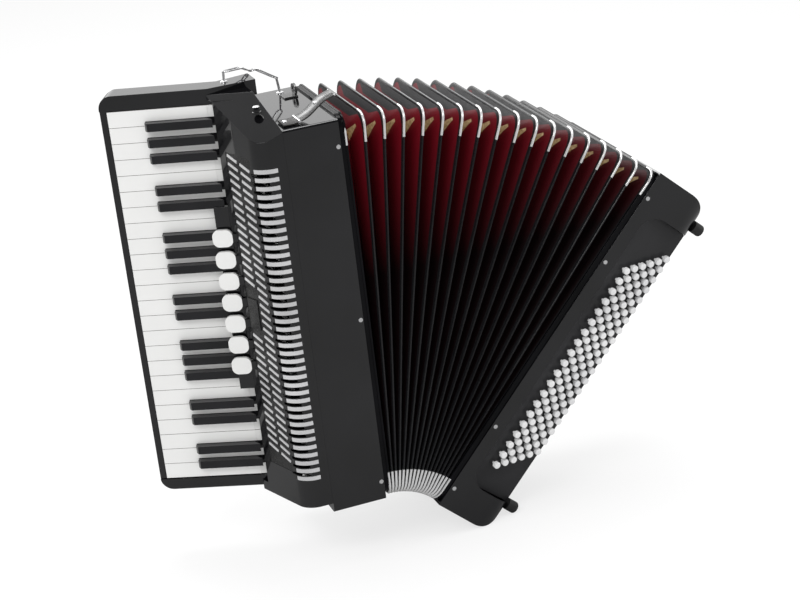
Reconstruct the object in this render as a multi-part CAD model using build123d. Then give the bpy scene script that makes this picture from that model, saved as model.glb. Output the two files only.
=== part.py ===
"""Piano accordion with 41 keys and 120 bass buttons, its bellows fanned open, in millimetres.

The case frame has X from the treble case towards the bass side, Y from the front towards the
player's chest, and Z up the keyboard, with 0 at the treble case's front bottom edge beside the
bellows. The files are written about ORIGIN, the middle of the treble case's back.
"""
from build123d import *
import os
from math import atan2, cos, degrees, radians, sin

# Treble case and the front cover over the pallets
CASE_WIDTH, CASE_DEPTH, CASE_HEIGHT, CASE_WALL = 66.4, 170.0, 480.0, 4.0
CASE_EDGE = 3.0
ORIGIN = (-CASE_WIDTH / 2, CASE_DEPTH, CASE_HEIGHT / 2)
PLATE_WALL = 5.0
COVER_BOTTOM, COVER_TOP, COVER_WALL = 12.0, 514.0, 2.6
COVER_CORNER_X, COVER_CORNER_R = -98.0, 24.0
COVER_FOOT = (-127.0, 87.0)
COVER_HIP_FRONT_Z, COVER_SIDE_LEAN = 477.5, 12.0

# Keyboard: its frame has X from the key fronts to their rear ends and Y down into the bed
KEY_SLOPE = 26.7
KEY_REAR = (-127.0, 90.0)
KEY_TOP_Z, KEY_PITCH, KEY_GAP = 501.7, 19.6, 0.5
KEY_LENGTH, KEY_THICK, KEY_TAIL, TAIL_THICK = 118.5, 10.0, 28.0, 15.5
BLACK_LENGTH, BLACK_WIDTH, BLACK_RISE, BLACK_CLEAR = 74.5, 9.8, 9.5, 0.45
WHITE_NOTES = "FGABCDE" * 3 + "FGA"
NO_SHARP_BELOW = (4, 7, 11, 14, 18, 21)
AXLE_X, AXLE_Y, AXLE_R, AXLE_PLAY = 20.0, 11.0, 1.5, 0.08
KEY_TRAVEL = 4.6
PALLET_Y, PALLET_SQUEEZE, ARM_R = (40.0, 62.0), 0.93, 1.4
CHEEK_TOP, CHEEK_BOTTOM, CHEEK_R, RAIL_WIDTH = 521.0, 16.5, 16.0, 7.5
BED_THICK, BED_ROOT_X, BED_ROOT_Y = 28.0, 8.0, 118.0

# Register tabs over the rear ends of the keys
TAB_COUNT, TAB_TOP_Z, TAB_PITCH = 7, 344.5, 26.95
TAB_WIDTH, TAB_LENGTH, TAB_THICK, TAB_LIFT, TAB_R = 21.0, 24.0, 4.0, 15.0, 8.0
TAB_ARM_END, TAB_ARM_HALF = 21.0, 5.0

EYES, EYE_LIFT, EYE_R = ((480.0, 1, 129.0), (0.0, -1, 150.0)), 8.0, 3.5

# Bright trim on the cover
BARS, BAR_TOP_Z, BAR_PITCH, BAR_HEIGHT, BAR_END, BAR_WRAP = 39, 436.1, 10.137, 5.0, -77.6, 62.0
SLAT_COLUMNS = ((32.0, 437.0, 0, 37), (56.0, 444.0, 0, 16), (56.0, 444.0, 22, 37))
SLAT_LENGTH, SLAT_WIDTH, SLAT_SLANT, TRIM_THICK = 19.0, 3.4, 18.0, 0.8
BLANK_PLATE = (46.0, 66.0, 233.0, 271.0)

# Bellows: ridges hinge about lines along Y under their lower ends
RIDGES, FOLD_ANGLE, RIDGE_PITCH = 18, 2.508, 3.373
RIDGE_0_X, HINGE_Z = 6.85, -3.2
RIDGE_BOTTOM, RIDGE_TOP, RIDGE_DEPTH = 3.0, 484.3, 170.0
RIDGE_R, RIDGE_THICK, RIDGE_BAND = 16.6, 2.6, 7.0
FOLD_OUTER, FOLD_INNER, FOLD_THICK = 9.0, 26.0, 0.7

# Bass side, in the frame of the last ridge: X outwards, Z up the ridge from the hinge line
BASS_IN, BASS_OUT, BASS_BOTTOM, BASS_TOP = 6.7, 98.0, 2.0, 486.0
BASS_DEPTH, BASS_WALL, BASS_END_R, BASS_FRONT_R = 170.0, 3.6, 36.0, 30.0
BOARD_IN, BOARD_OUT_Y, BOARD_IN_Y = 25.0, 23.0, 1.5
BOARD_LOW, BOARD_HIGH, BOARD_R, BOARD_THICK, BOARD_GAP = 44.0, 440.0, 24.0, 3.0, 0.12
COLUMNS, ROWS, ROW_PITCH = 6, 20, 15.0
COLUMN_1, COLUMN_6, ROW_TOP_1, ROW_TOP_6 = 17.0, 65.5, 365.0, 403.5
BUTTON_R, BUTTON_HEIGHT, BUTTON_LIFT, BUTTON_EDGE, STEM_R = 4.4, 5.5, 4.4, 2.0, 1.6
FEET = ((20.0, 42.0), (20.0, 455.0), (150.0, 42.0), (150.0, 455.0))
FOOT_R, FOOT_LENGTH = 7.5, 15.0
WHEEL_R, WHEEL_WIDTH, WHEEL_AT = 15.0, 8.6, (79.5, 467.5, 115.0)
STRAP_Y, STRAP_THICK, STRAP_LIFT = (80.0, 150.0), 3.0, 32.0
COVER_Y, COVER_Z, PIN_R = (48.0, 160.0), (36.0, 440.0), 1.5
AIR_AT, AIR_STEM_R = (64.0, 385.0), 3.0
BASS_SCREWS = ((11.5, 29.0), (11.5, 120.0), (11.5, 360.0), (11.5, 452.0))

# Straps over the bellows' ends, and the shoulder strap's chain on top
CLASP_WIDTH = 25.0
TOP_STRAP_AT, LOW_STRAP_AT = (-61.0, CASE_HEIGHT, 23.0), (-61.0, 0.0, 120.0)
TOP_STRAP = ((0, 0.4), (15, 0.4), (31, 7), (49, 19), (64, 24), (63, 27), (48, 22), (29, 10), (14, 3.4),
             (0, 3.4))
LOW_STRAP = ((0, -0.4), (53, -0.4), (59, -2), (59, -5), (52, -3.4), (0, -3.4))
CHAIN = ((-100, 101, 521.4), (-99, 102, 534), (-72, 119, 528), (-62, 125, 519), (-52, 131, 521),
         (-27, 147, 503), (-22, 150, 494), (-22, 151, 480.4))
LINK_R, LINK_JOINT_R = 1.3, 1.6

os.makedirs("parts", exist_ok=True)


def block(x0, x1, y0, y1, z0, z1):
    """A block from its low corner to its high corner."""
    middle = Pos((x0 + x1) / 2, (y0 + y1) / 2, (z0 + z1) / 2)
    return middle * Box(x1 - x0, y1 - y0, z1 - z0)


def along_z(points, z0, z1):
    """The XY outline swept from z0 to z1."""
    face = make_face(Polyline(*[(x, y, z0) for x, y in points], close=True))
    return extrude(face, amount=z1 - z0, dir=(0, 0, 1))


def along_y(points, y0, y1):
    """The XZ outline swept from y0 to y1."""
    face = make_face(Polyline(*[(x, y0, z) for x, z in points], close=True))
    return extrude(face, amount=y1 - y0, dir=(0, 1, 0))


def rod(start, end, radius):
    """A round bar from start to end."""
    way = Vector(*end) - Vector(*start)
    return extrude(Plane(origin=start, z_dir=way) * Circle(radius), amount=way.length)


def group(solids):
    """One shape that holds these bodies side by side."""
    return Compound(children=[s for part in solids for s in part.solids()])


def save(node, *solids):
    """Writes a sub-part's file, with its solids placed about ORIGIN."""
    export_step(Pos(*[-v for v in ORIGIN]) * group(solids), f"parts/{node}.step")


def ridge_frame(i):
    """The frame of bellows ridge i, on its hinge line, with Z up the ridge."""
    x, z = RIDGE_0_X, HINGE_Z
    for k in range(1, i + 1):
        for turn in ((k - 1) * FOLD_ANGLE, k * FOLD_ANGLE):
            x += RIDGE_PITCH / 2 * cos(radians(turn))
            z -= RIDGE_PITCH / 2 * sin(radians(turn))
    return Location((x, 0, z), (0, i * FOLD_ANGLE, 0))


# The bass side, the keyboard, and the cover's slope with X down to the keys and Y outwards
BASS = ridge_frame(RIDGES - 1)
KEYS = Location((*KEY_REAR, 0), (0, 0, -KEY_SLOPE))
SLOPE_ANGLE = 180 - degrees(atan2(COVER_FOOT[1], COVER_FOOT[0] - COVER_CORNER_X))
SLOPE = Location((COVER_CORNER_X, 0, 0), (0, 0, 180 - SLOPE_ANGLE))
BOARD_TILT = degrees(atan2(BOARD_OUT_Y - BOARD_IN_Y, BASS_OUT - BOARD_IN))
BOARD = Location((BOARD_IN, BOARD_IN_Y, 0), (0, 0, BOARD_TILT))


def to_world(frame, x, y, z=0.0):
    """A point of this frame in the case frame."""
    p = (frame * Pos(x, y, z)).position
    return (p.X, p.Y, p.Z)


# ---------------------------------------------------------------- treble case

def treble_case():
    """The case: four walls and the pallet plate, open to the bellows, with slots over the reeds."""
    outer = block(-CASE_WIDTH, 0, 0, CASE_DEPTH, 0, CASE_HEIGHT)
    outer = fillet(outer.edges().filter_by(Axis.X), CASE_EDGE)
    inner = block(-CASE_WIDTH + PLATE_WALL, 1, CASE_WALL, CASE_DEPTH - CASE_WALL,
                  CASE_WALL, CASE_HEIGHT - CASE_WALL)
    low, high = PALLET_Y
    slots = [block(-CASE_WIDTH - 1, -CASE_WIDTH + PLATE_WALL + 1, low + 3, high - 3, z - 2.2, z + 2.2)
             for z in map(pallet_z, key_heights())]
    return outer - inner - slots


def key_heights():
    """The middle height of every key's rear part, white then black."""
    white = [KEY_TOP_Z - KEY_PITCH * (k + 0.5) for k in range(len(WHITE_NOTES))]
    return white + [KEY_TOP_Z - KEY_PITCH * k for k in black_lines()]


def black_lines():
    """The lines between white keys that hold a black key, counted from the top."""
    return [k for k in range(1, len(WHITE_NOTES)) if k not in NO_SHARP_BELOW]


def pallet_z(key_z):
    """A pallet's height: the levers draw together so that all pallets lie on the plate."""
    middle = KEY_TOP_Z - KEY_PITCH * len(WHITE_NOTES) / 2
    return CASE_HEIGHT / 2 + (key_z - middle) * PALLET_SQUEEZE


def cover_outline(inset=0.0):
    """The cover's section: flat front, round corner and slope down to the keys."""
    seam = -CASE_WIDTH - 0.05
    slope = atan2(COVER_FOOT[1], COVER_FOOT[0] - COVER_CORNER_X)
    out_x, out_y = sin(slope), -cos(slope)
    corner_x = COVER_CORNER_X + inset * (1 - out_y) / out_x
    reach = (COVER_FOOT[1] - inset) / sin(slope)
    foot = (corner_x + reach * cos(slope), COVER_FOOT[1])
    return [(seam, inset), (corner_x, inset), foot, (seam, COVER_FOOT[1])]


def cover_body(inset):
    """The cover's outer form, or the hollow inside it when inset."""
    low, high = COVER_BOTTOM + inset, COVER_TOP - inset
    body = along_z(cover_outline(inset), low, high)
    corner = body.edges().filter_by(Axis.Z).sort_by(Axis.X)[1:2]
    body = fillet(corner, COVER_CORNER_R - inset)
    lean = along_y([(-CASE_WIDTH + 1, CASE_HEIGHT + 1), (-CASE_WIDTH - inset, CASE_HEIGHT + 1),
                    (-CASE_WIDTH - COVER_SIDE_LEAN - inset, COVER_TOP + 1),
                    (-CASE_WIDTH + 1, COVER_TOP + 1)], -1, COVER_FOOT[1] + 1)
    hip = Plane(origin=(-CASE_WIDTH, 0, COVER_HIP_FRONT_Z - inset * 1.2), z_dir=(-0.28, -0.526, 0.803))
    above = hip * Pos(0, 0, 100) * Box(500, 500, 200)
    return body - lean - above


def grille_cover():
    """The cover shell over the pallets, with its slots, open at the back and over the keys."""
    shell = cover_body(0) - cover_body(COVER_WALL)
    keys = KEYS * block(-3, 60, -BLACK_RISE - 1.2, 40, 24, 508)
    slots = [block(-106, -88, -1, 22, z - 1.8, z + 1.8) for z in bar_heights()]
    screen = SLOPE * block(20, 68, -6, 3, 56, 450)
    half = TAB_ARM_HALF + 1
    arms = [KEYS * block(0, 30, -TAB_LIFT - TAB_THICK, -TAB_LIFT + 5, z - half, z + half)
            for z in tab_heights()]
    return shell - keys - slots - screen - arms


def bar_heights():
    """The heights of the cover's front slots, between the bright bars."""
    return [BAR_TOP_Z - BAR_PITCH * (k + 0.5) for k in range(BARS - 1)]


def grille_trim():
    """The bright bars round the cover's corner, and the slatted screen on its slope."""
    bars = [Pos(0, 0, BAR_TOP_Z - BAR_PITCH * k) * trim_bar() for k in range(BARS)]
    screen = SLOPE * block(20.1, 67.9, -1.4, -0.4, 56.1, 449.9)
    s0, s1, z0, z1 = BLANK_PLATE
    plate = SLOPE * block(s0, s1, -0.35, TRIM_THICK, z0, z1)
    slat = Rot(0, -SLAT_SLANT, 0) * Box(SLAT_LENGTH, TRIM_THICK, SLAT_WIDTH)
    slats = [SLOPE * Pos(s, 0.0, top - BAR_PITCH * k) * slat
             for s, top, first, end in SLAT_COLUMNS for k in range(first, end)]
    return bars + slats + [screen, plate]


def trim_bar():
    """One bright bar: a strip along the flat front that follows the cover round its corner."""
    turn = radians(90 - SLOPE_ANGLE / 2)
    centre = Vector(COVER_CORNER_X + COVER_CORNER_R / sin(turn) * cos(turn), COVER_CORNER_R, 0)

    def on_corner(radius, share):
        angle = radians(-90 - BAR_WRAP * share)
        return centre + Vector(radius * cos(angle), radius * sin(angle), 0)

    near, far = COVER_CORNER_R + 0.05, COVER_CORNER_R + TRIM_THICK
    inner, outer = [[on_corner(radius, share) for share in (1, 0.5, 0)] for radius in (near, far)]
    ends = [Vector(BAR_END, point.Y, 0) for point in (inner[2], outer[2])]
    edges = [ThreePointArc(*inner), Line(inner[2], ends[0]), Line(*ends), Line(ends[1], outer[2]),
             ThreePointArc(*reversed(outer)), Line(outer[0], inner[0])]
    return Pos(0, 0, -BAR_HEIGHT / 2) * extrude(make_face(edges), amount=BAR_HEIGHT, dir=(0, 0, 1))


def keyboard_bed():
    """The bed under the keys: a slab from the case to the front rail, with its two end cheeks."""
    front = -KEY_LENGTH - 1.0
    floor_y = KEY_THICK + KEY_TRAVEL + 3.4
    section = [(front - RAIL_WIDTH, 1.0), (front, 1.0), (front, floor_y), (2, floor_y)]
    points = [to_world(KEYS, x, y)[:2] for x, y in section]
    seam = -CASE_WIDTH - 0.05
    slab = along_z([*points, (seam, COVER_FOOT[1] + 16), *bed_back()], CHEEK_BOTTOM + 1, CHEEK_TOP - 1)
    top = cheek(KEY_TOP_Z + 1.0, CHEEK_TOP)
    bottom = cheek(CHEEK_BOTTOM, KEY_TOP_Z - KEY_PITCH * len(WHITE_NOTES) - 1.0)
    ends = block(front - RAIL_WIDTH, 200, -60, 90, CHEEK_BOTTOM, CHEEK_TOP)
    ends = fillet(ends.edges().filter_by(Axis.Y).sort_by(Axis.X)[:2], CHEEK_R)
    return (slab + top + bottom) & (KEYS * ends)


def bed_back():
    """The bed's back, from the case to the underside of the front rail."""
    rail = -KEY_LENGTH - 1.0 - RAIL_WIDTH
    corners = ((BED_ROOT_X, BED_THICK), (rail + 12, BED_THICK), (rail, BED_THICK - 12))
    return [(-CASE_WIDTH - 0.05, BED_ROOT_Y), *[to_world(KEYS, x, y)[:2] for x, y in corners]]


def cheek(z0, z1):
    """One end block of the keyboard, level with the white keys' tops."""
    rail = -KEY_LENGTH - 1.0 - RAIL_WIDTH
    outline = [to_world(KEYS, rail, -1.0)[:2], to_world(KEYS, 3, -1.0)[:2],
               (-CASE_WIDTH - 0.05, COVER_FOOT[1] + 0.3), *bed_back()]
    return along_z(outline, z0, z1)


def key_axle():
    """The steel rod that every key turns on, its ends set in the cheeks."""
    x, y, _ = to_world(KEYS, AXLE_X, AXLE_Y)
    return rod((x, y, CHEEK_BOTTOM + 6), (x, y, KEY_TOP_Z + 6), AXLE_R)


def key_hole(z0, z1):
    """The bore for the axle, in the keyboard's frame."""
    return rod((AXLE_X, AXLE_Y, z0 - 1), (AXLE_X, AXLE_Y, z1 + 1), AXLE_R + AXLE_PLAY)


def lever(z, half):
    """A key's arm and its pallet on the case's plate, in the case frame."""
    x, y, _ = to_world(KEYS, AXLE_X + 5, AXLE_Y - 7)
    pallet_x, end_z = -CASE_WIDTH - 3.5, pallet_z(z)
    arm = rod((x, y, z), (pallet_x - 0.8, sum(PALLET_Y) / 2, end_z), ARM_R)
    pallet = block(pallet_x, -CASE_WIDTH - 0.35, *PALLET_Y, end_z - half, end_z + half)
    return arm, pallet


def white_key(k):
    """White key k from the top: front, narrower rear, lever and pallet."""
    high = KEY_TOP_Z - KEY_PITCH * k - KEY_GAP / 2
    low = high - KEY_PITCH + KEY_GAP
    cut = BLACK_WIDTH / 2 + BLACK_CLEAR - KEY_GAP / 2
    rear_high = high - (cut if k in black_lines() else 0)
    rear_low = low + (cut if k + 1 in black_lines() else 0)
    step = -BLACK_LENGTH - 0.6
    body = block(-KEY_LENGTH, step, 0, KEY_THICK, low, high)
    body += block(step - 0.1, 0, 0, KEY_THICK, rear_low, rear_high)
    body += block(-0.1, KEY_TAIL, 0.5, TAIL_THICK, rear_low, rear_high)
    arm, pallet = lever((rear_low + rear_high) / 2, 4.4)
    return [KEYS * (body - key_hole(low, high)) + arm, pallet]


def black_key(k):
    """The black key on the line above white key k."""
    z = KEY_TOP_Z - KEY_PITCH * k
    half = BLACK_WIDTH / 2
    side = [(-BLACK_LENGTH, KEY_THICK), (-BLACK_LENGTH, -5.5), (-BLACK_LENGTH + 3, -BLACK_RISE),
            (6.0, -BLACK_RISE), (-4.0, 0.5), (KEY_TAIL, 0.5), (KEY_TAIL, TAIL_THICK), (0, TAIL_THICK),
            (0, KEY_THICK)]
    body = along_z(side, z - half, z + half) - key_hole(z - half, z + half)
    arm, pallet = lever(z, 3.6)
    return [KEYS * body + arm, pallet]


def tab_heights():
    """The middle height of each register tab, from the top."""
    return [TAB_TOP_Z - TAB_PITCH * i for i in range(TAB_COUNT)]


def register_tab(z):
    """A register tab over the keys' rear ends, with the arm that it rocks on."""
    half = TAB_WIDTH / 2
    plate = block(-TAB_LENGTH / 2, TAB_LENGTH / 2, -TAB_LIFT - TAB_THICK, -TAB_LIFT, z - half, z + half)
    plate = fillet(plate.edges().filter_by(Axis.Y), TAB_R)
    arm = block(0, TAB_ARM_END, 0.6 - TAB_LIFT - TAB_THICK, -TAB_LIFT, z - TAB_ARM_HALF, z + TAB_ARM_HALF)
    return KEYS * (plate + arm)


def strap_brackets():
    """Eye plates for the shoulder straps on the case's two ends, and the chain on top."""
    solids = []
    for face, way, y in EYES:
        plate = block(-12, -9, y - 9, y + 9, *sorted((face, face + 15 * way)))
        base = block(-26, -11, y - 9, y + 9, *sorted((face, face + 2 * way)))
        eye = face + EYE_LIFT * way
        solids.append(plate + base - rod((-30, y, eye), (0, y, eye), EYE_R))
    links = [rod(start, end, LINK_R) for start, end in zip(CHAIN, CHAIN[1:])]
    joints = [Pos(*point) * Sphere(LINK_JOINT_R) for point in CHAIN[1:-1]]
    solids.append(links[0].fuse(*links[1:], *joints))
    return solids


# ---------------------------------------------------------------- bellows

def ridge_outline(x0, x1, inset):
    """A rounded block as large as a ridge, in the ridge's frame."""
    body = block(x0, x1, inset, RIDGE_DEPTH - inset, RIDGE_BOTTOM + inset, RIDGE_TOP - inset)
    return fillet(body.edges().filter_by(Axis.X), RIDGE_R - min(inset, RIDGE_R - 4))


def ridge_ring(x0, x1, inset=0.0):
    """A flat ring from x0 to x1, as wide as the tape on a ridge."""
    return ridge_outline(x0, x1, inset) - ridge_outline(x0 - 1, x1 + 1, RIDGE_BAND + inset)


def fold_sheet(i):
    """A flat ring in the valley between ridge i and ridge i + 1."""
    valley = ridge_frame(i) * Location((RIDGE_PITCH / 2, 0, 0), (0, FOLD_ANGLE / 2, 0))
    outline = ridge_outline(-FOLD_THICK / 2, FOLD_THICK / 2, FOLD_OUTER)
    return valley * (outline - ridge_outline(-FOLD_THICK, FOLD_THICK, FOLD_INNER))


# ---------------------------------------------------------------- bass side

def bass_form(inset):
    """The bass case's outer form, rounded at its ends and at its front outer edge."""
    x0, x1 = BASS_IN, BASS_OUT - inset
    side = block(x0, x1, inset, BASS_DEPTH - inset, BASS_BOTTOM + inset, BASS_TOP - inset)
    ends = side.edges().filter_by(Axis.Y).sort_by(Axis.X)[2:]
    side = fillet(ends, BASS_END_R - inset)
    plan = block(x0, x1, inset, BASS_DEPTH - inset, BASS_BOTTOM, BASS_TOP)
    front = plan.edges().filter_by(Axis.Z).sort_by(Axis.X)[2:].sort_by(Axis.Y)[0:1]
    plan = fillet(front, BASS_FRONT_R - inset)
    return side & plan


def board_plane(depth):
    """The sloping button board's outline below the front, from its inner edge to the outside."""
    tilt = (BOARD_OUT_Y - BOARD_IN_Y) / (BASS_OUT - BOARD_IN)
    far = BASS_OUT + 6
    return [(BOARD_IN, BOARD_IN_Y + depth), (far, BOARD_IN_Y + depth + tilt * (far - BOARD_IN))]


def board_recess(depth, low, high, grow=0.0):
    """What the button recess cuts away, down to this depth under the board's face."""
    inner, outer = board_plane(depth)
    body = along_z([(inner[0] - grow, -1), (inner[0] - grow, inner[1]), outer, (outer[0], -1)], low, high)
    ends = block(BOARD_IN - grow, BASS_OUT + 40, -5, 90, low, high)
    return body & fillet(ends.edges().filter_by(Axis.Y).sort_by(Axis.X)[:2], BOARD_R)


def bass_case():
    """The bass shell, open to the bellows, with the button recess and the wheel's slot."""
    shell = bass_form(0) - bass_form(BASS_WALL) - block(0, BASS_IN + 8, 4, BASS_DEPTH - 4,
                                                        BASS_BOTTOM + 4, BASS_TOP - 4)
    window = block(BASS_OUT - 8, BASS_OUT + 1, *COVER_Y, *COVER_Z)
    x, z, y = WHEEL_AT
    slot = Pos(x, y, z) * Rot(90, 0, 0) * Cylinder(WHEEL_R + 1.2, WHEEL_WIDTH + 1.4)
    ribs = [block(x - 8, x + 8, y + s * 7.5 - 1.5, y + s * 7.5 + 1.5, z - 8, z + 10) for s in (-1, 1)]
    pivot = rod((x, y - 12, z), (x, y + 12, z), PIN_R + 0.08)
    ribs = [rib & bass_form(1) for rib in ribs]
    gap = BOARD_GAP
    recess = board_recess(BOARD_THICK + gap, BOARD_LOW - gap, BOARD_HIGH + gap, gap)
    return shell - recess - window - slot + ribs - slot - pivot


def button_board():
    """The board at the bottom of the recess, drilled for every button's stem."""
    inner, outer = board_plane(0)
    above = along_z([(inner[0] - 1, -9), (inner[0] - 1, inner[1]), inner, outer, (outer[0], -9)], 0, 500)
    plate = board_recess(BOARD_THICK, BOARD_LOW, BOARD_HIGH) - above
    plate &= block(0, BASS_OUT, -5, 90, 0, 500)
    holes = [BOARD * Pos(x, 0, z) * Rot(90, 0, 0) * Cylinder(STEM_R + 0.35, 20) for x, z in button_places()]
    return plate - holes


def button_places():
    """Every button's place on the board, column by column from the bellows outwards."""
    return [place for c in range(COLUMNS) for place in column_places(c)]


def column_places(c):
    """The places of one column's buttons, from the top."""
    share = c / (COLUMNS - 1)
    x = COLUMN_1 + (COLUMN_6 - COLUMN_1) * share
    top = ROW_TOP_1 + (ROW_TOP_6 - ROW_TOP_1) * share
    return [(x, top - ROW_PITCH * r) for r in range(ROWS)]


def button():
    """A round-edged bass button on its stem, standing off the board along -Y."""
    head = rod((0, -BUTTON_LIFT, 0), (0, -BUTTON_LIFT - BUTTON_HEIGHT, 0), BUTTON_R)
    head = fillet(head.edges().sort_by(Axis.Y)[:1], BUTTON_EDGE)
    return head + rod((0, 14, 0), (0, -BUTTON_LIFT - 0.5, 0), STEM_R)


def bass_cover():
    """The plate over the opening in the bass side's outer face."""
    y0, y1 = COVER_Y
    z0, z1 = COVER_Z
    air_y, air_z = AIR_AT
    hole = rod((BASS_OUT - 9, air_y, air_z), (BASS_OUT + 9, air_y, air_z), AIR_STEM_R + 0.6)
    return block(BASS_OUT - 2.4, BASS_OUT, y0 + 0.1, y1 - 0.1, z0 + 0.1, z1 - 0.1) - hole


def bass_feet():
    """Four round rubber feet on the outer face."""
    feet = []
    for y, z in FEET:
        foot = rod((BASS_OUT, y, z), (BASS_OUT + FOOT_LENGTH, y, z), FOOT_R)
        feet.append(fillet(foot.edges().sort_by(Axis.X)[-1:], 3.0))
    return feet


def hand_strap():
    """The leather hand strap, bowed off the outer face between its two end plates."""
    y0, y1 = STRAP_Y
    out, lift, thick = BASS_OUT + 0.3, STRAP_LIFT, STRAP_THICK
    ends = (60.0, 425.0)
    rise = 60.0
    outer = [(out, ends[0]), (out + thick, ends[0]), (out + lift, ends[0] + rise),
             (out + lift, ends[1] - rise), (out + thick, ends[1]), (out, ends[1])]
    inner = [(out, ends[1] - 8), (out + lift - thick, ends[1] - rise - 3),
             (out + lift - thick, ends[0] + rise + 3), (out, ends[0] + 8)]
    return along_y([*outer, *inner], y0, y1)


def adjuster_wheel():
    """The knurled wheel that tightens the hand strap, with its pin."""
    x, z, y = WHEEL_AT
    wheel = Pos(x, y, z) * Rot(90, 0, 0) * Cylinder(WHEEL_R, WHEEL_WIDTH)
    return wheel + rod((x, y - 8.8, z), (x, y + 8.8, z), PIN_R)


def air_button():
    """The air release button beside the hand strap."""
    y, z = AIR_AT
    cap = rod((BASS_OUT + 5.6, y, z), (BASS_OUT + 9.6, y, z), 8.0)
    stem = rod((BASS_OUT - 14, y, z), (BASS_OUT + 6, y, z), AIR_STEM_R)
    return fillet(cap.edges().sort_by(Axis.X)[-1:], 1.5) + stem


# ---------------------------------------------------------------- screws, straps and reeds

def screw_heads(frame, places, way):
    """Domed screw heads that stand 0.8 mm off a face, at these X and Z."""
    heads = []
    for x, z in places:
        y = 0.0 if way < 0 else CASE_DEPTH
        heads.append(frame * rod((x, y, z), (x, y + 0.8 * way, z), 2.6))
    return heads


def bellows_strap(rivet, outline):
    """A leather strap across the end of the bellows, its outline given from its rivet."""
    x, z, y = rivet
    return along_y([(x + dx, z + dz) for dx, dz in outline], y - CLASP_WIDTH / 2, y + CLASP_WIDTH / 2)


def reed_blocks(x0, x1, count, low, high):
    """Wooden reed blocks side by side, each with a row of reed plates on both faces."""
    solids = []
    for k in range(count):
        y = 26 + k * (CASE_DEPTH - 52) / (count - 1)
        solids.append(block(x0, x1, y - 7, y + 7, low, high))
        for side in (-1, 1):
            a, b = sorted((y + side * 7.02, y + side * 8.2))
            solids.append(block(x0 + 2, x1 - 2, a, b, low + 8, high - 8))
    return solids


# ---------------------------------------------------------------- files

def save_treble():
    """Writes the treble side and its keys and tabs."""
    save("treble_case", treble_case())
    save("treble_grille_cover", grille_cover())
    save("grille_trim", *grille_trim())
    save("keyboard_bed", keyboard_bed())
    save("key_axle", key_axle())
    save("treble_reed_blocks", *reed_blocks(-CASE_WIDTH + PLATE_WALL + 0.05, -14, 4, 22, 458))
    save("treble_bellows_frame", ridge_ring(0.05, 5.6, 1.5) + ridge_ring(5.5, RIDGE_0_X + RIDGE_THICK / 2))
    screws = [(-3.6, 24.4), (-3.6, 235.0), (-3.6, 448.0)]
    save("treble_screws", *screw_heads(Location(), screws, -1))
    save("strap_brackets", *strap_brackets())
    for name in sorted(set(WHITE_NOTES)):
        keys = [white_key(k) for k, note in enumerate(WHITE_NOTES) if note == name]
        save(f"keys_{name.lower()}", *[solid for key in keys for solid in key])
    pairs = [k for k in black_lines() if WHITE_NOTES[k] in "DE"]
    triples = [k for k in black_lines() if k not in pairs]
    for name, lines in (("black_keys_pairs", pairs), ("black_keys_triples", triples)):
        save(name, *[solid for k in lines for solid in black_key(k)])
    for i, z in enumerate(tab_heights()):
        save(f"register_tab_{i + 1}", register_tab(z))


def save_bellows():
    """Writes the free ridges and the flat rings between all ridges."""
    ring = ridge_ring(-RIDGE_THICK / 2, RIDGE_THICK / 2)
    for i in range(1, RIDGES - 1):
        save(f"bellows_ridge_{i:02d}", ridge_frame(i) * ring)
    save("bellows_leaves", *[fold_sheet(i) for i in range(RIDGES - 1)])


def save_bass():
    """Writes the bass side."""
    save("bass_case", BASS * bass_case())
    save("bass_cover", BASS * bass_cover())
    save("button_board", BASS * button_board())
    save("bass_reed_blocks", *[BASS * s for s in reed_blocks(BASS_IN + 6, 22, 4, 22, 462)])
    frame = ridge_ring(-RIDGE_THICK / 2, 1.4) + ridge_ring(1.3, BASS_IN - 0.05, 1.5)
    save("bass_bellows_frame", BASS * frame)
    save("bass_feet", *[BASS * foot for foot in bass_feet()])
    save("bass_screws", *screw_heads(BASS, BASS_SCREWS, -1), *screw_heads(BASS, BASS_SCREWS, 1))
    save("hand_strap", BASS * hand_strap())
    save("strap_adjuster_wheel", BASS * adjuster_wheel())
    save("air_button", BASS * air_button())
    one = button()
    for c in range(COLUMNS):
        save(f"bass_buttons_{c + 1}", *[BASS * BOARD * Pos(x, 0, z) * one for x, z in column_places(c)])


save_treble()
save("bellows_strap_top", bellows_strap(TOP_STRAP_AT, TOP_STRAP))
save("bellows_strap_bottom", bellows_strap(LOW_STRAP_AT, LOW_STRAP))
save_bellows()
save_bass()
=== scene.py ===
"""Looks of the piano accordion: materials, bellows, straps, chain and studio, around the CAD frame."""
import bpy
from math import atan2, cos, hypot, pi, radians, sin
from mathutils import Matrix, Vector


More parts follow.
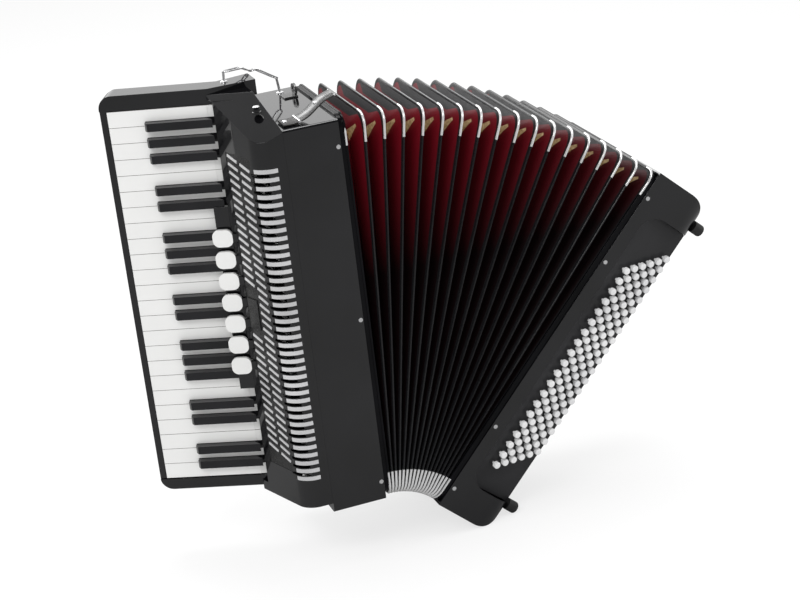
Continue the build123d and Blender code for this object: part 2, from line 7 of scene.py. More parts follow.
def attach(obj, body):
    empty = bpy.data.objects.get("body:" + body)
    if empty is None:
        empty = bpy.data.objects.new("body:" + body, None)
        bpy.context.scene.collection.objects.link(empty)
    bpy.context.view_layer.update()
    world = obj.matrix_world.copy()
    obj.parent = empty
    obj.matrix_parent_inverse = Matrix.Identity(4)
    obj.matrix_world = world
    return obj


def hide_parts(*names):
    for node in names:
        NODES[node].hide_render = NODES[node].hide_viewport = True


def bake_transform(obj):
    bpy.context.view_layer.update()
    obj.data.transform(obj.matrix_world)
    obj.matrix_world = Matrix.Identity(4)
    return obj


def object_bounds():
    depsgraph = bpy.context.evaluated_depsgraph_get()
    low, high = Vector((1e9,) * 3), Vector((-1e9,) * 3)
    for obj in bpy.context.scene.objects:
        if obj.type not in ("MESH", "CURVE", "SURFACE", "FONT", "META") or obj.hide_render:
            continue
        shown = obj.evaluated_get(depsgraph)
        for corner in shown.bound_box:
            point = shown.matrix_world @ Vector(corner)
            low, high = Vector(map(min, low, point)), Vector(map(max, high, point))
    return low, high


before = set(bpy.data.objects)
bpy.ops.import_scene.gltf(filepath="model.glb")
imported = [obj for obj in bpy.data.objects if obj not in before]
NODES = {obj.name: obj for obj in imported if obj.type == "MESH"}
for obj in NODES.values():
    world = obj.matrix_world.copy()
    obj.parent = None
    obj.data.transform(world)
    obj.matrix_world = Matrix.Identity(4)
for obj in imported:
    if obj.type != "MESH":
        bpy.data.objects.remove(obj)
CAD_BOX = [list(corner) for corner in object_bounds()]

# Sizes in millimetres, as the CAD has them
ORIGIN = Vector((-33.2, 170.0, 240.0))
CASE_WIDTH, CASE_DEPTH, CASE_HEIGHT = 66.4, 170.0, 480.0
RIDGES, FOLD_ANGLE, RIDGE_PITCH = 18, radians(2.508), 3.373
RIDGE_0_X, HINGE_Z = 6.85, -3.2
RIDGE_BOTTOM, RIDGE_TOP, RIDGE_R = 3.0, 484.3, 16.6
RIDGE_HALF, RIDGE_BAND = 1.3, 7.0
VALLEY_INSET, VALLEY_R = 26.0, 21.0
BASS_OUT, WHEEL_AT, WHEEL_R, WHEEL_WIDTH = 98.0, (79.5, 115.0, 467.5), 15.0, 8.6
EYES, EYE_LIFT, EYE_R = ((480.0, 1, 129.0), (0.0, -1, 150.0)), 8.0, 3.5

CASE = Matrix.Scale(0.001, 4) @ Matrix.Translation(-ORIGIN)


def ridge_frame(i):
    """Bellows ridge i's frame on its hinge line, with Z up the ridge; halves give the valleys."""
    x, z = RIDGE_0_X, HINGE_Z
    for k in range(1, int(i) + 1):
        for turn in ((k - 1) * FOLD_ANGLE, k * FOLD_ANGLE):
            x += RIDGE_PITCH / 2 * cos(turn)
            z -= RIDGE_PITCH / 2 * sin(turn)
    here = CASE @ Matrix.Translation((x, 0, z)) @ Matrix.Rotation(int(i) * FOLD_ANGLE, 4, "Y")
    if i > int(i):
        here = here @ Matrix.Translation((RIDGE_PITCH / 2, 0, 0)) @ Matrix.Rotation(FOLD_ANGLE / 2, 4, "Y")
    return here


BASS = ridge_frame(RIDGES - 1)
KEY_FRAME = Matrix.Translation((-127, 90, 0)) @ Matrix.Rotation(radians(-26.7), 4, "Z")
KEYS = CASE @ KEY_FRAME
SLOPE = Matrix.Translation((-98, 0, 0)) @ Matrix.Rotation(atan2(87, -29), 4, "Z")
BLANK_PLATE, SCREEN_FROM, TAB_EDGE = (46.0, 66.0, 233.0, 271.0), 19.5, 12.05


# ---------------------------------------------------------------- materials

def new_material(name):
    """A node material: its tree, its shader and its object coordinates."""
    made = bpy.data.materials.new(name)
    made.use_nodes = True
    tree = made.node_tree
    shader = tree.nodes["Principled BSDF"]
    place = tree.nodes.new("ShaderNodeTexCoord").outputs["Object"]
    return made, tree, shader, place


def noise_of(tree, place, scale, detail=4.0, stretch=(1, 1, 1)):
    """Noise over the object, stretched along its axes."""
    mapping = tree.nodes.new("ShaderNodeMapping")
    mapping.inputs["Scale"].default_value = stretch
    tree.links.new(place, mapping.inputs["Vector"])
    noise = tree.nodes.new("ShaderNodeTexNoise")
    noise.inputs["Scale"].default_value = scale
    noise.inputs["Detail"].default_value = detail
    tree.links.new(mapping.outputs[0], noise.inputs["Vector"])
    return noise.outputs["Fac"]


def spread(tree, value, low, high, start=0.3, end=0.7):
    """The value from start to end turned into low to high."""
    node = tree.nodes.new("ShaderNodeMapRange")
    for key, number in (("From Min", start), ("From Max", end), ("To Min", low), ("To Max", high)):
        node.inputs[key].default_value = number
    tree.links.new(value, node.inputs["Value"])
    return node.outputs["Result"]


def two_tone(tree, value, dark, light):
    """A colour between dark and light by this value."""
    node = tree.nodes.new("ShaderNodeMix")
    node.data_type = "RGBA"
    node.inputs["A"].default_value = (*dark, 1)
    node.inputs["B"].default_value = (*light, 1)
    tree.links.new(value, node.inputs["Factor"])
    return node.outputs["Result"]


def relief(tree, shader, value, strength, distance):
    """Bump from this value."""
    node = tree.nodes.new("ShaderNodeBump")
    node.inputs["Strength"].default_value = strength
    node.inputs["Distance"].default_value = distance
    tree.links.new(value, node.inputs["Height"])
    tree.links.new(node.outputs[0], shader.inputs["Normal"])


def surface(name, dark, light, rough, grain=60.0, bump=0.1, depth=0.0002, metallic=0.0, stretch=(1, 1, 1),
            specular=0.5, coat=0.0, sheen=0.0):
    """A surface with uneven colour, uneven roughness and a fine relief."""
    made, tree, shader, place = new_material(name)
    broad = noise_of(tree, place, 14.0)
    fine = noise_of(tree, place, grain, stretch=stretch)
    tone = spread(tree, broad, 0.0, 1.0)
    tree.links.new(two_tone(tree, tone, dark, light), shader.inputs["Base Color"])
    tree.links.new(spread(tree, fine, *rough), shader.inputs["Roughness"])
    relief(tree, shader, fine, bump, depth)
    shader.inputs["Metallic"].default_value = metallic
    shader.inputs["Specular IOR Level"].default_value = specular
    shader.inputs["Coat Weight"].default_value = coat
    shader.inputs["Sheen Weight"].default_value = sheen
    return made


def pleat_cloth(name, tape_end=None):
    """Bellows cloth: black tape from the crest, red card with painted shade darkening it towards the bottom,
    and tan gussets when the tape's end is given.

    The map's Y runs from crest to valley; its X says where the tape, or the red, stops.
    """
    made, tree, shader, place = new_material(name)
    uv = tree.nodes.new("ShaderNodeUVMap")
    parts = tree.nodes.new("ShaderNodeSeparateXYZ")
    tree.links.new(uv.outputs[0], parts.inputs[0])
    height = tree.nodes.new("ShaderNodeSeparateXYZ")
    tree.links.new(place, height.inputs[0])
    weave = noise_of(tree, place, 900.0, 2.0)
    # Painted shade: the red darkens to near black towards the bottom of the bellows, standing in for the
    # dimmer light low down and in the narrow valleys.
    red = two_tone(tree, spread(tree, height.outputs["Z"], 0.0, 1.0, 0.04, 0.22), RED_PAINTED_SHADE, RED_HIGH)
    past = tree.nodes.new("ShaderNodeMath")
    past.operation = "SUBTRACT"
    tree.links.new(parts.outputs["Y"], past.inputs[0])
    tree.links.new(parts.outputs["X"], past.inputs[1])
    here = spread(tree, past.outputs[0], 0.0, 1.0, -0.01, 0.01)
    if tape_end is None:
        colour = mixed(tree, TAPE_COLOUR, red, here)
    else:
        inside = spread(tree, parts.outputs["Y"], 0.0, 1.0, tape_end, tape_end + 0.02)
        inner = mixed(tree, TAPE_COLOUR, red, inside)
        tan = two_tone(tree, spread(tree, noise_of(tree, place, 300.0), 0.0, 1.0), TAN_DARK, TAN_LIGHT)
        colour = mixed(tree, inner, tan, here)
    tree.links.new(colour, shader.inputs["Base Color"])
    tree.links.new(spread(tree, weave, 0.42, 0.62), shader.inputs["Roughness"])
    shader.inputs["Specular IOR Level"].default_value = 0.25
    relief(tree, shader, weave, 0.35, 0.0001)
    return made


def mixed(tree, first, second, share):
    """A mix of two colours, each a socket or three numbers."""
    node = tree.nodes.new("ShaderNodeMix")
    node.data_type = "RGBA"
    for key, colour in (("A", first), ("B", second)):
        if isinstance(colour, tuple):
            node.inputs[key].default_value = (*colour, 1)
        else:
            tree.links.new(colour, node.inputs[key])
    tree.links.new(share, node.inputs["Factor"])
    return node.outputs["Result"]


# The first red is near black, the painted shade of the lower bellows; the second is the red of the lit top.
RED_PAINTED_SHADE, RED_HIGH = (0.004, 0.0, 0.0005), (0.13, 0.0005, 0.006)
TAN_DARK, TAN_LIGHT = (0.26, 0.17, 0.07), (0.6, 0.45, 0.25)
TAPE_COLOUR = (0.006, 0.006, 0.007)
BLACK = surface("black_celluloid", (0.003, 0.003, 0.0035), (0.006, 0.006, 0.007), (0.04, 0.08), grain=40,
                bump=0.01, specular=0.7, coat=0.4)
PANEL = surface("black_panel", (0.003, 0.003, 0.0035), (0.005, 0.005, 0.006), (0.1, 0.16), grain=300,
                bump=0.02, specular=0.12)
WHITE = surface("white_key", (0.74, 0.74, 0.73), (0.79, 0.79, 0.78), (0.1, 0.18), grain=90, bump=0.02)
KEY_SIDE = surface("key_side", (0.05, 0.035, 0.02), (0.1, 0.07, 0.045), (0.4, 0.6), grain=90, bump=0.2)
PEARL = surface("pearl_button", (0.62, 0.62, 0.63), (0.76, 0.76, 0.76), (0.12, 0.25), grain=400, bump=0.05)
EBONY = surface("black_key", (0.006, 0.006, 0.007), (0.012, 0.012, 0.014), (0.16, 0.26), grain=120, bump=0.04)
SILVER = surface("silver_trim", (0.62, 0.62, 0.63), (0.84, 0.84, 0.85), (0.25, 0.4), grain=240, metallic=0.45,
                 stretch=(1, 1, 12), bump=0.1, depth=0.00005)
CHROME = surface("chrome", (0.75, 0.75, 0.76), (0.88, 0.88, 0.89), (0.08, 0.18), grain=120, metallic=0.85,
                 bump=0.02)
NICKEL = surface("nickel", (0.72, 0.72, 0.72), (0.86, 0.86, 0.86), (0.15, 0.25), grain=120, metallic=0.5,
                 bump=0.02)
TAPE = surface("bellows_tape", (0.005, 0.005, 0.006), (0.009, 0.009, 0.01), (0.2, 0.32), grain=900,
               bump=0.3, depth=0.0001)
LEATHER = surface("strap_leather", (0.01, 0.009, 0.009), (0.022, 0.02, 0.019), (0.3, 0.45), grain=500,
                  bump=0.5, depth=0.0002)
MATT = surface("board_plastic", (0.011, 0.011, 0.012), (0.02, 0.02, 0.022), (0.35, 0.5), grain=700,
               bump=0.2, depth=0.0001)
CLASP = surface("clasp", (0.08, 0.08, 0.08), (0.16, 0.16, 0.16), (0.2, 0.35), grain=300, metallic=0.8)
RUBBER = surface("rubber", (0.012, 0.012, 0.012), (0.02, 0.02, 0.02), (0.5, 0.7), grain=500, bump=0.3)
WOOD = surface("reed_wood", (0.3, 0.16, 0.07), (0.5, 0.32, 0.17), (0.35, 0.55), grain=60, stretch=(8, 8, 0.5),
               bump=0.3)
THREAD = surface("thread", (0.02, 0.02, 0.02), (0.05, 0.05, 0.05), (0.5, 0.7), grain=900, bump=0.4)
DARK = surface("dark_plastic", (0.01, 0.01, 0.01), (0.018, 0.018, 0.018), (0.2, 0.35), grain=300, bump=0.1)
RED_CLOTH = pleat_cloth("red_pleat")
GUSSET = pleat_cloth("tan_gusset", 0.1)


# ---------------------------------------------------------------- pieces

def piece(name, vertices, faces, place, materials, body=None, smooth=True, sharp=40):
    """A mesh piece in the row frame from millimetre points in a local frame."""
    mesh = bpy.data.meshes.new(name)
    mesh.from_pydata([place @ Vector(v) for v in vertices], [], faces)
    mesh.validate()
    mesh.update()
    for made in materials if isinstance(materials, (list, tuple)) else [materials]:
        mesh.materials.append(made)
    if smooth:
        mesh.shade_smooth()
        mesh.set_sharp_from_angle(angle=radians(sharp))
    made = bpy.data.objects.new(name, mesh)
    bpy.context.scene.collection.objects.link(made)
    if body:
        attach(made, body)
    return made


def joined_loops(loops, around=True, through=True):
    """Faces between equal loops of points: around closes each loop, through joins the last to the first."""
    count = len(loops[0])
    faces = []
    for k in range(len(loops) if through else len(loops) - 1):
        here, there = k * count, (k + 1) % len(loops) * count
        for j in range(count if around else count - 1):
            nxt = (j + 1) % count
            faces.append((here + j, here + nxt, there + nxt, there + j))
    if around and not through:
        faces.append(tuple(reversed(range(count))))
        faces.append(tuple((len(loops) - 1) * count + j for j in range(count)))
    return [p for loop in loops for p in loop], faces


def tube_loops(path, radius, sides=12):
    """Rings round a path, each square to the way there."""
    loops = []
    points = [Vector(p) for p in path]
    side = None
    for k, p in enumerate(points):
        way = (points[min(k + 1, len(points) - 1)] - points[max(k - 1, 0)]).normalized()
        if side is None:
            side = way.orthogonal().normalized()
        side = (side - way * side.dot(way)).normalized()
        up = way.cross(side)
        loops.append([p + side * radius * cos(2 * pi * j / sides) + up * radius * sin(2 * pi * j / sides)
                      for j in range(sides)])
    return loops


def combine(parts):
    """Several (points, faces) as one."""
    points, faces = [], []
    for more_points, more_faces in parts:
        base = len(points)
        points += list(more_points)
        faces += [tuple(base + n for n in face) for face in more_faces]
    return points, faces


def turned(profile, sides=24):
    """A body turned about X from (x, radius) pairs, whose ends lie near the axis."""
    loops = [[Vector((x, r * cos(2 * pi * j / sides), r * sin(2 * pi * j / sides))) for j in range(sides)]
             for x, r in profile]
    return joined_loops(loops, True, False)


def slab(x0, x1, y0, y1, z0, z1):
    """A plain block, to be bevelled."""
    points = [(x, y, z) for x in (x0, x1) for y in (y0, y1) for z in (z0, z1)]
    faces = [(0, 1, 3, 2), (4, 6, 7, 5), (0, 4, 5, 1), (2, 3, 7, 6), (0, 2, 6, 4), (1, 5, 7, 3)]
    return points, faces


def moved(part, place):
    """A part's points in another frame."""
    return [place @ Vector(p) for p in part[0]], part[1]


def rounded(obj, width, segments=3, angle=30):
    """Rounds the piece's edges with a modifier, and keeps its flat faces flat."""
    made = obj.modifiers.new("edges", "BEVEL")
    made.width, made.segments, made.limit_method = width / 1000, segments, "ANGLE"
    made.angle_limit = radians(angle)
    made.miter_outer = "MITER_ARC"
    even = obj.modifiers.new("even", "WEIGHTED_NORMAL")
    even.weight = 90
    even.keep_sharp = True
    return obj


# ---------------------------------------------------------------- CAD nodes

def dress(node, material, width=0.0, segments=3, angle=30):
    """Gives a CAD node its material, and rounds its edges."""
    obj = NODES[node]
    mesh = obj.data
    mesh.materials.clear()
    mesh.materials.append(material)
    if "custom_normal" in mesh.attributes:
        mesh.attributes.remove(mesh.attributes["custom_normal"])
    mesh.shade_smooth()
    weld = obj.modifiers.new("weld", "WELD")
    weld.merge_threshold = 0.000002
    rounded(obj, width or 0.05, segments if width else 1, angle)


def second_material(node, material, chosen):
    """Gives a CAD node's chosen faces another material, by their centre and normal in millimetres."""
    obj = NODES[node]
    obj.data.materials.append(material)
    for face in obj.data.polygons:
        if chosen(obj.matrix_world @ face.center * 1000 + ORIGIN, face.normal):
            face.material_index = 1


def dress_cad_nodes():
    """Materials and edge rounding of every CAD node that stays in view."""
    widths = {"treble_case": (BLACK, 0.7), "treble_grille_cover": (BLACK, 0.6), "grille_trim": (SILVER, 0.18),
              "keyboard_bed": (BLACK, 2.4), "key_axle": (CHROME, 0.2), "treble_reed_blocks": (WOOD, 0.3),
              "treble_bellows_frame": (PANEL, 0.6), "treble_screws": (CHROME, 0.4),
              "bass_case": (BLACK, 0.5), "bass_cover": (PANEL, 0.5), "button_board": (MATT, 0.0),
              "bass_reed_blocks": (WOOD, 0.3), "bass_bellows_frame": (PANEL, 0.6), "bass_feet": (RUBBER, 0.5),
              "bass_screws": (CHROME, 0.4), "air_button": (DARK, 0.5),
              "black_keys_pairs": (EBONY, 1.2), "black_keys_triples": (EBONY, 1.2)}
    for node, (material, width) in widths.items():
        dress(node, material, width)
    second_material("grille_trim", DARK, is_screen)
    for node in NODES:
        if node.startswith("keys_"):
            dress(node, WHITE, 0.9)
            second_material(node, KEY_SIDE, lambda centre, normal: abs(normal.z) > 0.9)
        elif node.startswith("register_tab"):
            dress(node, WHITE, 1.5)
            second_material(node, BLACK, is_arm)
        elif node.startswith("bass_buttons"):
            dress(node, PEARL, 0.0)


def is_screen(centre, _normal):
    """Whether a point of the trim is on the dark screen or the blank plate, not on a bar or a slat."""
    along, out, z = SLOPE.inverted() @ centre
    s0, s1, z0, z1 = BLANK_PLATE
    on_plate = s0 - 1 < along < s1 + 1 and z0 - 1 < z < z1 + 1
    return along > SCREEN_FROM and (out < -0.38 or on_plate)


def is_arm(centre, _normal):
    """Whether a point of a register tab is on its arm."""
    return (KEY_FRAME.inverted() @ centre).x > TAB_EDGE


# ---------------------------------------------------------------- bellows

CORNER_STEPS = 7
# How deep the tape goes towards the valley, and where the gusset starts at each step round a corner
TAPE_LEAD, TAPE_WIDE, TAPE_NARROW = 12.0, 0.4, 0.08
GUSSET_EDGE = (1.1, 1.1, 0.98, 0.42, 0.42, 0.98, 1.1, 1.1)


def outline(inset, radius, lead=0.0):
    """A rounded rectangle inside a ridge: Y and Z from the front bottom corner round.

    With a lead, each corner has one more point that far before it and one after it.
    """
    y0, y1 = inset, CASE_DEPTH - inset
    z0, z1 = RIDGE_BOTTOM + inset, RIDGE_TOP - inset
    points = []
    for quarter, (y, z) in enumerate(((y0, z0), (y1, z0), (y1, z1), (y0, z1))):
        cy = y + radius if y == y0 else y - radius
        cz = z + radius if z == z0 else z - radius
        start, end = pi + quarter * pi / 2, pi + (quarter + 1) * pi / 2
        arc = []
        for k in range(CORNER_STEPS + 1):
            turn = start + (end - start) * k / CORNER_STEPS
            arc.append((cy + radius * cos(turn), cz + radius * sin(turn)))
        if lead:
            (ya, za), (yb, zb) = arc[0], arc[-1]
            arc.insert(0, (ya + lead * sin(start), za - lead * cos(start)))
            arc.append((yb - lead * sin(end), zb + lead * cos(end)))
        points += arc
    return points


def crest(name, i, body):
    """A ridge's taped crest: a rounded band all the way round."""
    half, band = RIDGE_HALF, RIDGE_BAND
    profile = [(-half, band), (-half, 1.3), (-0.85, 0.4), (0, 0), (0.85, 0.4), (half, 1.3), (half, band)]
    loops = [[(u, y, z) for y, z in outline(v, max(RIDGE_R - v, 1))] for u, v in profile]
    return piece(name, *joined_loops(loops), ridge_frame(i), TAPE, body)


def corner_guard(name, i, body):
    """Bright metal strips round the two front corners of a ridge's crest."""
    profile = [(-1.35, 1.6), (-1.35, 0.5), (-0.8, -0.2), (0, -0.45), (0.8, -0.2), (1.35, 0.5), (1.35, 1.6)]
    down, along = 17.0, 6.0
    parts = []
    for quarter in (0, 3):
        first = quarter * (CORNER_STEPS + 1)
        loops = []
        for k in range(-1, CORNER_STEPS + 2):
            index = first + min(max(k, 0), CORNER_STEPS)
            loop = []
            for u, v in profile:
                y, z = outline(v, RIDGE_R - v)[index]
                if k in (-1, CORNER_STEPS + 1):
                    on_side = abs(y - v) < 0.01
                    z += (down if z < CASE_HEIGHT / 2 else -down) if on_side else 0
                    y += 0 if on_side else along
                loop.append((u, y, z))
            loops.append(loop)
        parts.append(joined_loops(loops, True, False))
    return piece(name, *combine(parts), ridge_frame(i), NICKEL, body)


def pleat(i):
    """The folded cloth between ridge i and ridge i + 1, with tan gussets in its corners."""
    grip, skin, start = RIDGE_HALF - 0.3, 1.3, 2.8
    near, valley, far = ridge_frame(i), ridge_frame(i + 0.5), ridge_frame(i + 1)
    rows = [(near, grip, start, 13.0, 0.0), (valley, 0, VALLEY_INSET, VALLEY_R, 1.0),
            (far, -grip, start, 13.0, 0.0), (far, -grip, start + skin, 12.0, 0.0),
            (valley, 0, VALLEY_INSET + skin, VALLEY_R, 1.0), (near, grip, start + skin, 12.0, 0.0)]
    loops = [[place @ Vector((u, y, z)) for y, z in outline(inset, radius, TAPE_LEAD)]
             for place, u, inset, radius, _ in rows]
    points, faces = joined_loops(loops)
    made = piece(f"pleat_{i + 1:02d}", points, faces, Matrix(), [RED_CLOTH, GUSSET], smooth=False)
    count, step = len(loops[0]), CORNER_STEPS + 3
    layer = made.data.uv_layers.new(name="pleat")
    for face in made.data.polygons:
        slots = [v % count for v in face.vertices]
        corner = len({s // step for s in slots}) == 1 and all(0 < s % step < step - 1 for s in slots)
        face.material_index = 1 if corner else 0
        for corner_index, vertex in zip(face.loop_indices, face.vertices):
            quarter, k = divmod(vertex % count, step)
            wide = (quarter % 2 == 0 and k == step - 1) or (quarter % 2 == 1 and k == 0)
            across = GUSSET_EDGE[k - 1] if corner else (TAPE_WIDE if wide else TAPE_NARROW)
            layer.data[corner_index].uv = (across, rows[vertex // count][4])
    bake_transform(made)
    return made


def build_bellows():
    """Crests, corner guards and pleats of the whole bellows."""
    bodies = ["treble", *[f"ridge_{i:02d}" for i in range(1, RIDGES - 1)], "bass"]
    for i, body in enumerate(bodies):
        if 0 < i < RIDGES - 1:
            made = crest(f"crest_{i:02d}", i, body)
            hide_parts(f"bellows_ridge_{i:02d}")
        corner_guard(f"corner_guard_{i:02d}", i, body)
    pleats = [pleat(i) for i in range(RIDGES - 1)]
    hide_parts("bellows_leaves")


# ---------------------------------------------------------------- straps, chain and small parts

def ribbon(path, width_from, width_to, thick):
    """A flat strap along a path in X and Z, with crowned edges, from Y width_from to width_to."""
    section = [(0.0, -0.5), (0.0, 0.5), (0.06, 0.92), (0.5, 1.0), (0.94, 0.92), (1.0, 0.5), (1.0, -0.5),
               (0.94, -0.92), (0.5, -1.0), (0.06, -0.92)]
    points = [Vector((x, 0, z)) for x, z in path]
    loops = []
    for k, p in enumerate(points):
        way = (points[min(k + 1, len(points) - 1)] - points[max(k - 1, 0)]).normalized()
        out = Vector((way.z, 0, -way.x))
        loops.append([p + out * s * thick / 2 + Vector((0, width_from + (width_to - width_from) * t, 0))
                      for t, s in section])
    return joined_loops(loops, True, False)


def smooth_path(corners, steps=10):
    """A Catmull-Rom curve through these points."""
    pts = [Vector((x, z)) for x, z in corners]
    pts = [pts[0] * 2 - pts[1], *pts, pts[-1] * 2 - pts[-2]]
    curve = []
    for a, b, c, d in zip(pts, pts[1:], pts[2:], pts[3:]):
        for k in range(steps):
            t = k / steps
            curve.append(0.5 * (2 * b + (c - a) * t + (2 * a - 5 * b + 4 * c - d) * t * t
                                + (3 * b - a - 3 * c + d) * t ** 3))
    return [tuple(p) for p in [*curve, pts[-2]]]


def build_hand_strap():
    """The leather hand strap, its stitching and its end plates."""
    path = smooth_path([(99.4, 64), (106, 80), (120, 104), (128.5, 150), (130, 242), (128.5, 335), (120, 380),
                        (106, 404), (99.4, 420)])
    strap = piece("leather_hand_strap", *ribbon(path, 80, 150, 2.8), BASS, LEATHER, "bass")
    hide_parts("hand_strap")
    stitches = []
    for edge in (84.0, 146.0):
        for a, b in zip(path[3:-3:1], path[4:-2:1]):
            length = hypot(b[0] - a[0], b[1] - a[1])
            dashes = max(1, round(length / 4.5))
            for n in range(dashes):
                low, high = (n + 0.15) / dashes, (n + 0.8) / dashes
                ends = [(a[0] + (b[0] - a[0]) * t, a[1] + (b[1] - a[1]) * t) for t in (low, high)]
                out = Vector((b[1] - a[1], 0, a[0] - b[0])).normalized() * 1.5
                line = [Vector((x, edge, z)) + out for x, z in ends]
                stitches.append(joined_loops(tube_loops(line, 0.35, 6), True, False))
    piece("hand_strap_stitches", *combine(stitches), BASS, THREAD, "bass")
    for name, z in (("low", 68), ("high", 416)):
        plate = slab(BASS_OUT + 0.05, BASS_OUT + 1.2, 84, 146, z - 12, z + 12)
        rounded(piece(f"strap_plate_{name}", *plate, BASS, CHROME, "bass"), 0.4)


def build_bellows_straps():
    """The straps that hold the closed bellows, with their metal ends, cross bars and snaps."""
    top = smooth_path([(-61, 482), (-46, 482.2), (-30, 487.5), (-12, 500), (3, 505.6)])
    low = smooth_path([(-61, -2), (-20, -2), (-8, -2), (-2, -3.6)])
    for side, path, y, node in (("top", top, 23.0, "bellows_strap_top"),
                                ("bottom", low, 120.0, "bellows_strap_bottom")):
        strap = piece(f"leather_{node}", *ribbon(path, y - 12.5, y + 12.5, 2.6), CASE, LEATHER, node)
        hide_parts(node)
        clasp = path[-28:] if side == "top" else path[-10:]
        piece(f"clasp_{side}", *ribbon(clasp, y - 11, y + 11, 3.4), CASE, CLASP, node)
        rims = [joined_loops(tube_loops([(x, edge, z) for x, z in clasp], 0.9, 8), True, False)
                for edge in (y - 11.6, y + 11.6)]
        for x, z in (clasp[0], clasp[-1]):
            bar = tube_loops([(x, y - 12.6, z), (x, y + 12.6, z)], 1.9 if (x, z) == clasp[0] else 1.1, 10)
            rims.append(joined_loops(bar, True, False))
        up = 1 if side == "top" else -1
        for x, z in (path[3], clasp[len(clasp) // 2]):
            dome = turned([(0, 0.1), (0, 3.4), (1.0, 3.2), (1.9, 2.2), (2.3, 0.1)], 16)
            here = Matrix.Translation((x, y, z + up)) @ Matrix.Rotation(-up * pi / 2, 4, "Y")
            rims.append(moved(dome, here))
        piece(f"clasp_rims_{side}", *combine(rims), CASE, CHROME, node)


def link(start, end, width, wire):
    """A long chain link between two points, its loop lying flat."""
    a, b = Vector(start), Vector(end)
    way = (b - a).normalized()
    side = way.cross(Vector((0, 0, 1))).normalized()
    r = width / 2
    path = []
    for centre, sign in ((b - way * r, 1), (a + way * r, -1)):
        for k in range(9):
            turn = -pi / 2 + k * pi / 8
            path.append(centre + way * sign * r * cos(turn) + side * sign * r * sin(turn))
    loops = []
    for k, p in enumerate(path):
        forward = (path[(k + 1) % len(path)] - path[k - 1]).normalized()
        over = forward.cross(Vector((0, 0, 1))).normalized()
        up = over.cross(forward)
        loops.append([p + over * wire * cos(2 * pi * j / 10) + up * wire * sin(2 * pi * j / 10)
                      for j in range(10)])
    return joined_loops(loops)


def build_brackets():
    """The shoulder strap fittings: the chain and its posts on top, and an eye plate on each end."""
    left, right = Vector((-99, 102, 533)), Vector((-25, 148, 500))
    parts = [link(left, (-72, 119, 529), 8, 1.0), link((-74, 118, 529), (-66, 123, 524), 5, 0.9),
             link((-68, 121, 525), (-60, 127, 521), 5, 0.9), link((-62, 125, 521), (-52, 132, 521), 5, 0.9),
             link((-54, 130, 521), right, 8, 1.0)]
    for foot, top in (((-100, 101, 521), left), ((-22, 151, 480), right)):
        foot = Vector(foot)
        parts.append(joined_loops(tube_loops([foot, foot.lerp(top, 0.6), top], 1.5), True, False))
        base = turned([(0, 0.1), (0, 4.4), (1.2, 4.2), (2.0, 2.8), (2.2, 0.1)], 16)
        parts.append(moved(base, Matrix.Translation(foot) @ Matrix.Rotation(-pi / 2, 4, "Y")))
    chain = piece("strap_chain", *combine(parts), CASE, CHROME, "treble")
    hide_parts("strap_brackets")
    plates = []
    for face, way, middle in EYES:
        low, high = sorted((face + 0.05 * way, face + 2 * way))
        plates.append(slab(-26, -9, middle - 9, middle + 9, low, high))
        rim = []
        for x in (-12.0, -9.0):
            centre = face + EYE_LIFT * way
            turns = [pi * k / 12 for k in range(24)]
            outer = [(x, middle + 8.6 * cos(t), centre + 6.9 * way * sin(t)) for t in turns]
            inner = [(x, middle + EYE_R * cos(t), centre + EYE_R * way * sin(t)) for t in turns]
            rim.append((outer, inner))
        (outer_a, inner_a), (outer_b, inner_b) = rim
        plates.append(joined_loops([outer_a, outer_b, inner_b, inner_a]))
    rounded(piece("strap_eyes", *combine(plates), CASE, CLASP, "treble"), 0.3)


def build_tab_strip():
    """The dark glossy strip that the register tabs stand over."""
    strip = slab(-7.5, 9.8, -10.9, -10.3, 150, 381)
    rounded(piece("tab_strip", *strip, KEYS, BLACK, "treble"), 0.25)


def build_wheel():
    """The hand strap's knurled adjuster wheel on its pin."""
    teeth = 48
    rims = []
    for y, share in ((-0.5, 0.93), (-0.42, 1.0), (0.42, 1.0), (0.5, 0.93)):
        ring = []
        for k in range(teeth * 2):
            r = WHEEL_R * share - (0.5 if k % 2 else 0)
            ring.append((r * cos(pi * k / teeth), y * WHEEL_WIDTH, r * sin(pi * k / teeth)))
        rims.append(ring)
    pin = joined_loops(tube_loops([(0, -8.8, 0), (0, 8.8, 0)], 1.5, 16), True, False)
    parts = combine([joined_loops(rims, True, False), pin])
    place = BASS @ Matrix.Translation(WHEEL_AT)
    wheel = piece("knurled_wheel", *parts, place, DARK, "strap_adjuster_wheel", sharp=20)
    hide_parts("strap_adjuster_wheel")


def build_knob():
    """The small master knob on the cover's upper corner, on its collar."""
    body = turned([(-2, 0.1), (-2, 5.2), (0.4, 5.2), (0.8, 4.2), (5.5, 4.2), (6.2, 3.9), (6.3, 0.1)])
    cap = turned([(6.3, 0.1), (6.3, 3.9), (6.9, 3.4), (7.3, 2.2), (7.4, 0.1)])
    place = CASE @ Matrix.Translation((-85, 30, 499)) @ Matrix.Rotation(-pi / 2, 4, "Y")
    piece("cover_knob", *body, place, BLACK, "treble")
    piece("cover_knob_cap", *cap, place, NICKEL, "treble")


# ---------------------------------------------------------------- studio

def aim(obj, target):
    """Turns a light towards a point."""
    obj.rotation_euler = (Vector(target) - obj.location).to_track_quat("-Z", "Y").to_euler()


def soft_light(name, place, target, size, power):
    """A large square light."""
    data = bpy.data.lights.new(name, "AREA")
    data.shape, data.size, data.size_y, data.energy = "RECTANGLE", *size, power
    made = bpy.data.objects.new(name, data)
    made.location = place
    bpy.context.scene.collection.objects.link(made)
    aim(made, target)


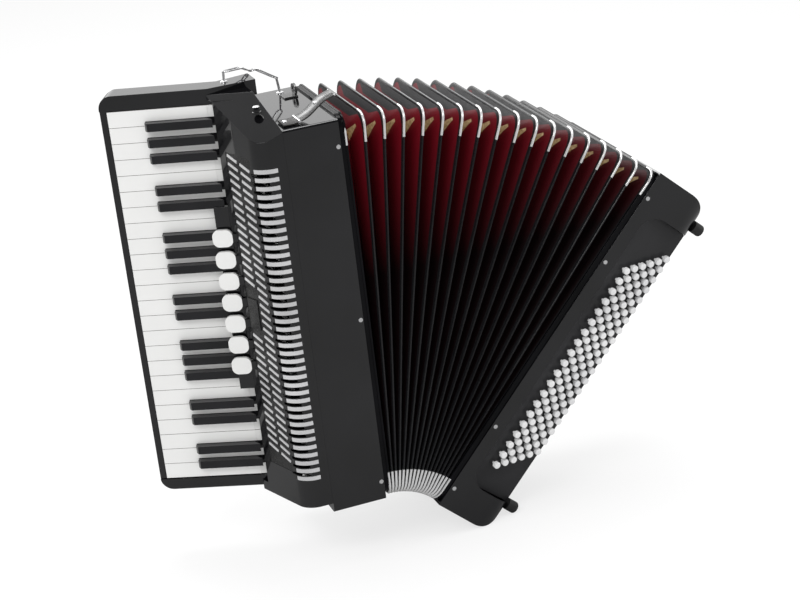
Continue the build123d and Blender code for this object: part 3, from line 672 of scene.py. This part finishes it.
def build_studio():
    """Pale floor, white surroundings that gloss sees darker, and soft lights."""
    low = CAD_BOX[0][2]
    size = 14.0
    mesh = bpy.data.meshes.new("floor")
    mesh.from_pydata([(-size, -size, low), (size, -size, low), (size, size, low), (-size, size, low)], [],
                     [(0, 1, 2, 3)])
    floor = bpy.data.objects.new("floor", mesh)
    bpy.context.scene.collection.objects.link(floor)
    made, tree, shader, _ = new_material("floor")
    shader.inputs["Base Color"].default_value = (0.9, 0.9, 0.9, 1)
    shader.inputs["Roughness"].default_value = 0.9
    shader.inputs["Specular IOR Level"].default_value = 0.0
    mesh.materials.append(made)
    dark = tree.nodes.new("ShaderNodeBsdfDiffuse")
    dark.inputs["Color"].default_value = (0.25, 0.25, 0.25, 1)
    ray = tree.nodes.new("ShaderNodeLightPath")
    mix = tree.nodes.new("ShaderNodeMixShader")
    tree.links.new(ray.outputs["Is Glossy Ray"], mix.inputs["Fac"])
    glow = tree.nodes.new("ShaderNodeEmission")
    glow.inputs["Strength"].default_value = 1.0
    soft = tree.nodes.new("ShaderNodeMixShader")
    soft.inputs["Fac"].default_value = 0.72
    tree.links.new(shader.outputs[0], soft.inputs[1])
    tree.links.new(glow.outputs[0], soft.inputs[2])
    tree.links.new(soft.outputs[0], mix.inputs[1])
    tree.links.new(dark.outputs[0], mix.inputs[2])
    tree.links.new(mix.outputs[0], tree.nodes["Material Output"].inputs["Surface"])
    world = bpy.data.worlds.new("studio")
    bpy.context.scene.world = world
    world.use_nodes = True
    tree = world.node_tree
    sky = tree.nodes["Background"]
    ray = tree.nodes.new("ShaderNodeLightPath")
    way = tree.nodes.new("ShaderNodeSeparateXYZ")
    tree.links.new(tree.nodes.new("ShaderNodeTexCoord").outputs["Generated"], way.inputs[0])
    level = tree.nodes.new("ShaderNodeMix")
    level.inputs["A"].default_value = 0.82
    tree.links.new(ray.outputs["Is Glossy Ray"], level.inputs["Factor"])
    tree.links.new(spread(tree, way.outputs["Y"], 0.05, 1.1, -0.1, 0.5), level.inputs["B"])
    seen = tree.nodes.new("ShaderNodeMath")
    seen.operation = "MAXIMUM"
    tree.links.new(level.outputs[0], seen.inputs[0])
    tree.links.new(ray.outputs["Is Camera Ray"], seen.inputs[1])
    sky.inputs["Color"].default_value = (1, 1, 1, 1)
    tree.links.new(seen.outputs[0], sky.inputs["Strength"])
    soft_light("key_light", (-1.3, -1.5, 1.9), (0, -0.1, 0), (1.3, 0.9), 22)
    soft_light("top_light", (0.3, 0.2, 2.2), (0.1, -0.1, 0), (1.8, 0.7), 26)
    soft_light("side_light", (2.3, -1.2, 1.1), (0.2, -0.1, 0), (0.5, 1.4), 14)
    soft_light("back_light", (-0.6, 2.2, 1.4), (0.1, 0, 0), (1.6, 0.8), 16)


def build_camera():
    """The camera, with its place, turn and roll as measured for this view."""
    yaw, pitch, roll = radians(17.592), radians(-21.248), radians(-6.912)
    forward = Vector((sin(yaw) * cos(pitch), cos(yaw) * cos(pitch), sin(pitch)))
    level = Vector((cos(yaw), -sin(yaw), 0))
    up = level.cross(forward)
    right = level * cos(roll) + up * sin(roll)
    above = up * cos(roll) - level * sin(roll)
    turn = Matrix((right, above, -forward)).transposed().to_4x4()
    data = bpy.data.cameras.new("camera")
    data.lens, data.sensor_width = 101.9, 36.0
    data.clip_start, data.clip_end = 0.05, 60.0
    camera = bpy.data.objects.new("camera", data)
    camera.matrix_world = Matrix.Translation((-0.667836, -2.530136, 0.970551)) @ turn
    bpy.context.scene.collection.objects.link(camera)
    bpy.context.scene.camera = camera
    bpy.context.scene.view_settings.view_transform = "Standard"


dress_cad_nodes()
build_bellows()
build_hand_strap()
build_bellows_straps()
build_brackets()
build_tab_strip()
build_wheel()
build_knob()
build_studio()
build_camera()
